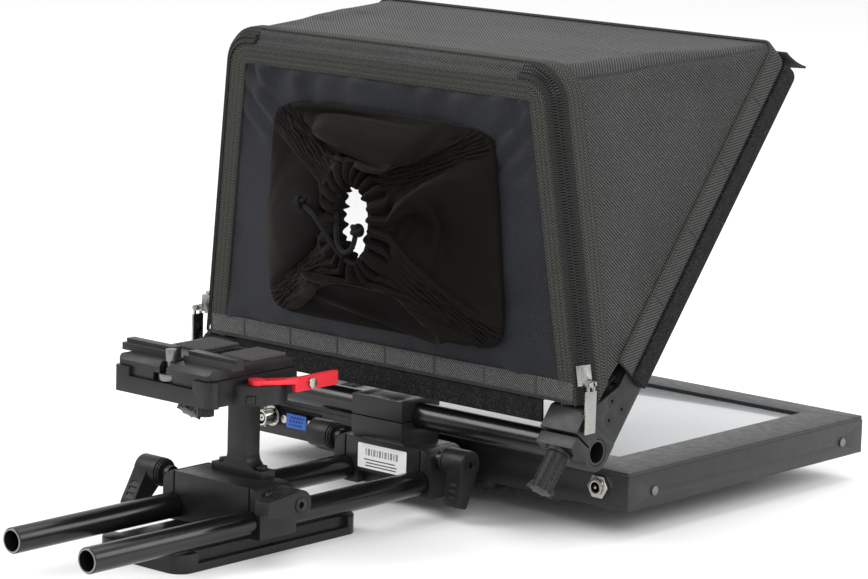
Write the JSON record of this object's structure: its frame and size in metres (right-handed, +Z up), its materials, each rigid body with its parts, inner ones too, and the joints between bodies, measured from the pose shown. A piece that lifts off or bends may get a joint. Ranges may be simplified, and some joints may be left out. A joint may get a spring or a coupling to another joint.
{
  "type": "rod-mounted teleprompter",
  "caption": "Rod-mounted teleprompter: sliding base and camera plate, flat monitor, tilting beam-splitter glass and a zipped fabric hood with a gathered lens sleeve.",
  "frame": {"origin": "centre of the base plate's underside, at the mouth of the large tripod thread", "axes": "+X to the right for the camera operator, +Y along the rods towards the speaker, +Z up"},
  "size_m": [0.3194, 0.5546, 0.2847],
  "materials": {
    "anodised": "satin black anodised aluminium, fine matte grain",
    "rod_black": "gloss black anodised tube with bright chamfered ends",
    "lever_black": "moulded black plastic with a light satin sheen",
    "screw_black": "black-oxide steel",
    "screw_steel": "turned and plated steel",
    "lever_red": "red anodised aluminium, satin",
    "pad_rubber": "ribbed grey-black cork rubber",
    "monitor_paint": "fine-texture black powder coat",
    "screen": "grey display face, switched off, smooth and reflective",
    "board": "green circuit board",
    "vga_blue": "blue connector insert",
    "nickel": "bright nickel plate",
    "beamsplitter": "half-mirror coated glass",
    "gasket": "black foam gasket",
    "hood_nylon": "coarse black-grey nylon weave, coated inside",
    "flap_twill": "blue-black twill nylon",
    "binding": "olive-grey herringbone binding tape",
    "velvet": "brown-black velvet",
    "cord_black": "braided black cord",
    "zip_black": "black coil zip on woven tape",
    "zip_silver": "brushed nickel-plated zinc"
  },
  "bodies": {
    "base": {"base_plate": "anodised", "base_screws": "screw_black", "rear_rod_block": "anodised", "rear_lever_screws": "screw_black", "riser_post": "anodised", "adapter_body": "anodised"},
    "rear_lever_left": {"rear_lever_left": "lever_black"},
    "rear_lever_right": {"rear_lever_right": "lever_black"},
    "friction_knob": {"friction_knob": "lever_black"},
    "lock_lever": {"lock_lever": "lever_red", "lever_rivet": "nickel"},
    "release_button": {"release_button": "lever_black"},
    "camera_plate": {"camera_plate": "anodised", "plate_pads": "pad_rubber"},
    "camera_screw": {"camera_screw": "screw_steel"},
    "rod_left": {"rod_left": "rod_black"},
    "rod_right": {"rod_right": "rod_black"},
    "carriage": {"front_rod_block": "anodised", "front_lever_screws": "screw_black", "tube_clamp_seat": "anodised", "tube_clamp_cap": "anodised", "cap_screws": "screw_black", "cross_tube": "rod_black", "monitor_bracket": "anodised", "monitor_housing": "monitor_paint", "monitor_bezel": "monitor_paint", "monitor_back_cover": "monitor_paint", "lcd_panel": "screen", "monitor_board": "board", "vga_socket": "vga_blue", "bnc_socket": "nickel", "dc_jack": "nickel", "monitor_screws": "screw_steel"},
    "front_lever_left": {"front_lever_left": "lever_black"},
    "front_lever_right": {"front_lever_right": "lever_black"},
    "glass_frame": {"frame_rail_left": "anodised", "frame_rail_right": "anodised", "frame_rail_top": "anodised", "frame_rail_bottom": "anodised", "beamsplitter_glass": "beamsplitter", "glass_gasket": "gasket", "tilt_clamp_left": "anodised", "tilt_clamp_right": "anodised", "arm_plate_left": "anodised", "arm_plate_right": "anodised", "arm_screws": "screw_black", "hood_shell": "hood_nylon", "hood_collar": "hood_nylon", "hood_floor": "hood_nylon", "zip_chains": "zip_black"},
    "tilt_knob_left": {"tilt_knob_left": "lever_black"},
    "tilt_knob_right": {"tilt_knob_right": "lever_black"},
    "zip_slider_left": {"zip_slider_left": "zip_silver"},
    "zip_slider_right": {"zip_slider_right": "zip_silver"},
    "zip_pull_left": {"zip_pull_left": "zip_silver"},
    "zip_pull_right": {"zip_pull_right": "zip_silver"},
    "back_flap": {"back_panel": "flap_twill", "camera_sleeve": "velvet", "drawstring": "cord_black", "webbing_strip": "binding"}
  },
  "joints": [
    {"name": "rod_slide", "type": "slide", "parent": "base", "child": "rod_right", "axis": [0, 1, 0], "range_m": [-0.06, 0.11]},
    {"name": "rod_left_slide", "type": "slide", "parent": "base", "child": "rod_left", "axis": [0, 1, 0], "range_m": [-0.06, 0.11]},
    {"name": "carriage_slide", "type": "slide", "parent": "rod_right", "child": "carriage", "axis": [0, 1, 0], "range_m": [-0.008, 0.012]},
    {"name": "rear_lever_left_turn", "type": "hinge", "parent": "base", "child": "rear_lever_left", "pos_m": [-0.054, -0.008, 0.035], "axis": [1, 0, 0], "range_deg": [-62, 98]},
    {"name": "rear_lever_right_turn", "type": "hinge", "parent": "base", "child": "rear_lever_right", "pos_m": [0.054, -0.008, 0.035], "axis": [1, 0, 0], "range_deg": [-8, 152]},
    {"name": "front_lever_left_turn", "type": "hinge", "parent": "carriage", "child": "front_lever_left", "pos_m": [-0.054, 0.139, 0.035], "axis": [1, 0, 0], "range_deg": [-170, 10]},
    {"name": "front_lever_right_turn", "type": "hinge", "parent": "carriage", "child": "front_lever_right", "pos_m": [0.054, 0.139, 0.035], "axis": [1, 0, 0], "range_deg": [-80, 100]},
    {"name": "friction_knob_turn", "type": "hinge", "parent": "base", "child": "friction_knob", "pos_m": [0.0297, -0.0524, 0.09], "axis": [0, 0, 1], "continuous": true},
    {"name": "lock_lever_swing", "type": "hinge", "parent": "base", "child": "lock_lever", "pos_m": [0.044, -0.026, 0.104], "axis": [0, 0, -1], "range_deg": [0, 80]},
    {"name": "release_button_press", "type": "slide", "parent": "base", "child": "release_button", "axis": [-0.6691, 0.7431, 0], "range_m": [0, 0.0015], "stiffness_N_per_m": 400},
    {"name": "camera_plate_slide", "type": "slide", "parent": "base", "child": "camera_plate", "axis": [0, 1, 0], "range_m": [-0.04, 0.03]},
    {"name": "camera_screw_slide", "type": "slide", "parent": "camera_plate", "child": "camera_screw", "axis": [0, 1, 0], "range_m": [-0.003, 0.053]},
    {"name": "glass_tilt", "type": "hinge", "parent": "carriage", "child": "glass_frame", "pos_m": [0, 0.1421, 0.058], "axis": [1, 0, 0], "range_deg": [-51.5, 8.5]},
    {"name": "tilt_knob_left_turn", "type": "hinge", "parent": "glass_frame", "child": "tilt_knob_left", "pos_m": [-0.1415, 0.1183, 0.05137], "axis": [0, -0.6225, -0.7826], "continuous": true},
    {"name": "tilt_knob_right_turn", "type": "hinge", "parent": "glass_frame", "child": "tilt_knob_right", "pos_m": [0.1415, 0.1183, 0.05137], "axis": [0, -0.6225, -0.7826], "continuous": true},
    {"name": "flap_open", "type": "hinge", "parent": "glass_frame", "child": "back_flap", "pos_m": [0, 0.12282, 0.2716], "axis": [-1, 0, 0], "range_deg": [0, 120]},
    {"name": "zip_left", "type": "slide", "parent": "glass_frame", "child": "zip_slider_left", "axis": [0.132, -0.0544, 0.9898], "range_m": [0, 0.13]},
    {"name": "zip_right", "type": "slide", "parent": "glass_frame", "child": "zip_slider_right", "axis": [-0.132, -0.0544, 0.9898], "range_m": [0, 0.13]},
    {"name": "zip_pull_left_swing", "type": "hinge", "parent": "zip_slider_left", "child": "zip_pull_left", "pos_m": [-0.1578, 0.13104, 0.1], "axis": [0, 1, 0], "range_deg": [0, 140]},
    {"name": "zip_pull_right_swing", "type": "hinge", "parent": "zip_slider_right", "child": "zip_pull_right", "pos_m": [0.1578, 0.13104, 0.1], "axis": [0, -1, 0], "range_deg": [0, 140]}
  ],
  "couplings": [
    {"joint": "rod_left_slide", "follows": "rod_slide", "ratio": 1}
  ]
}
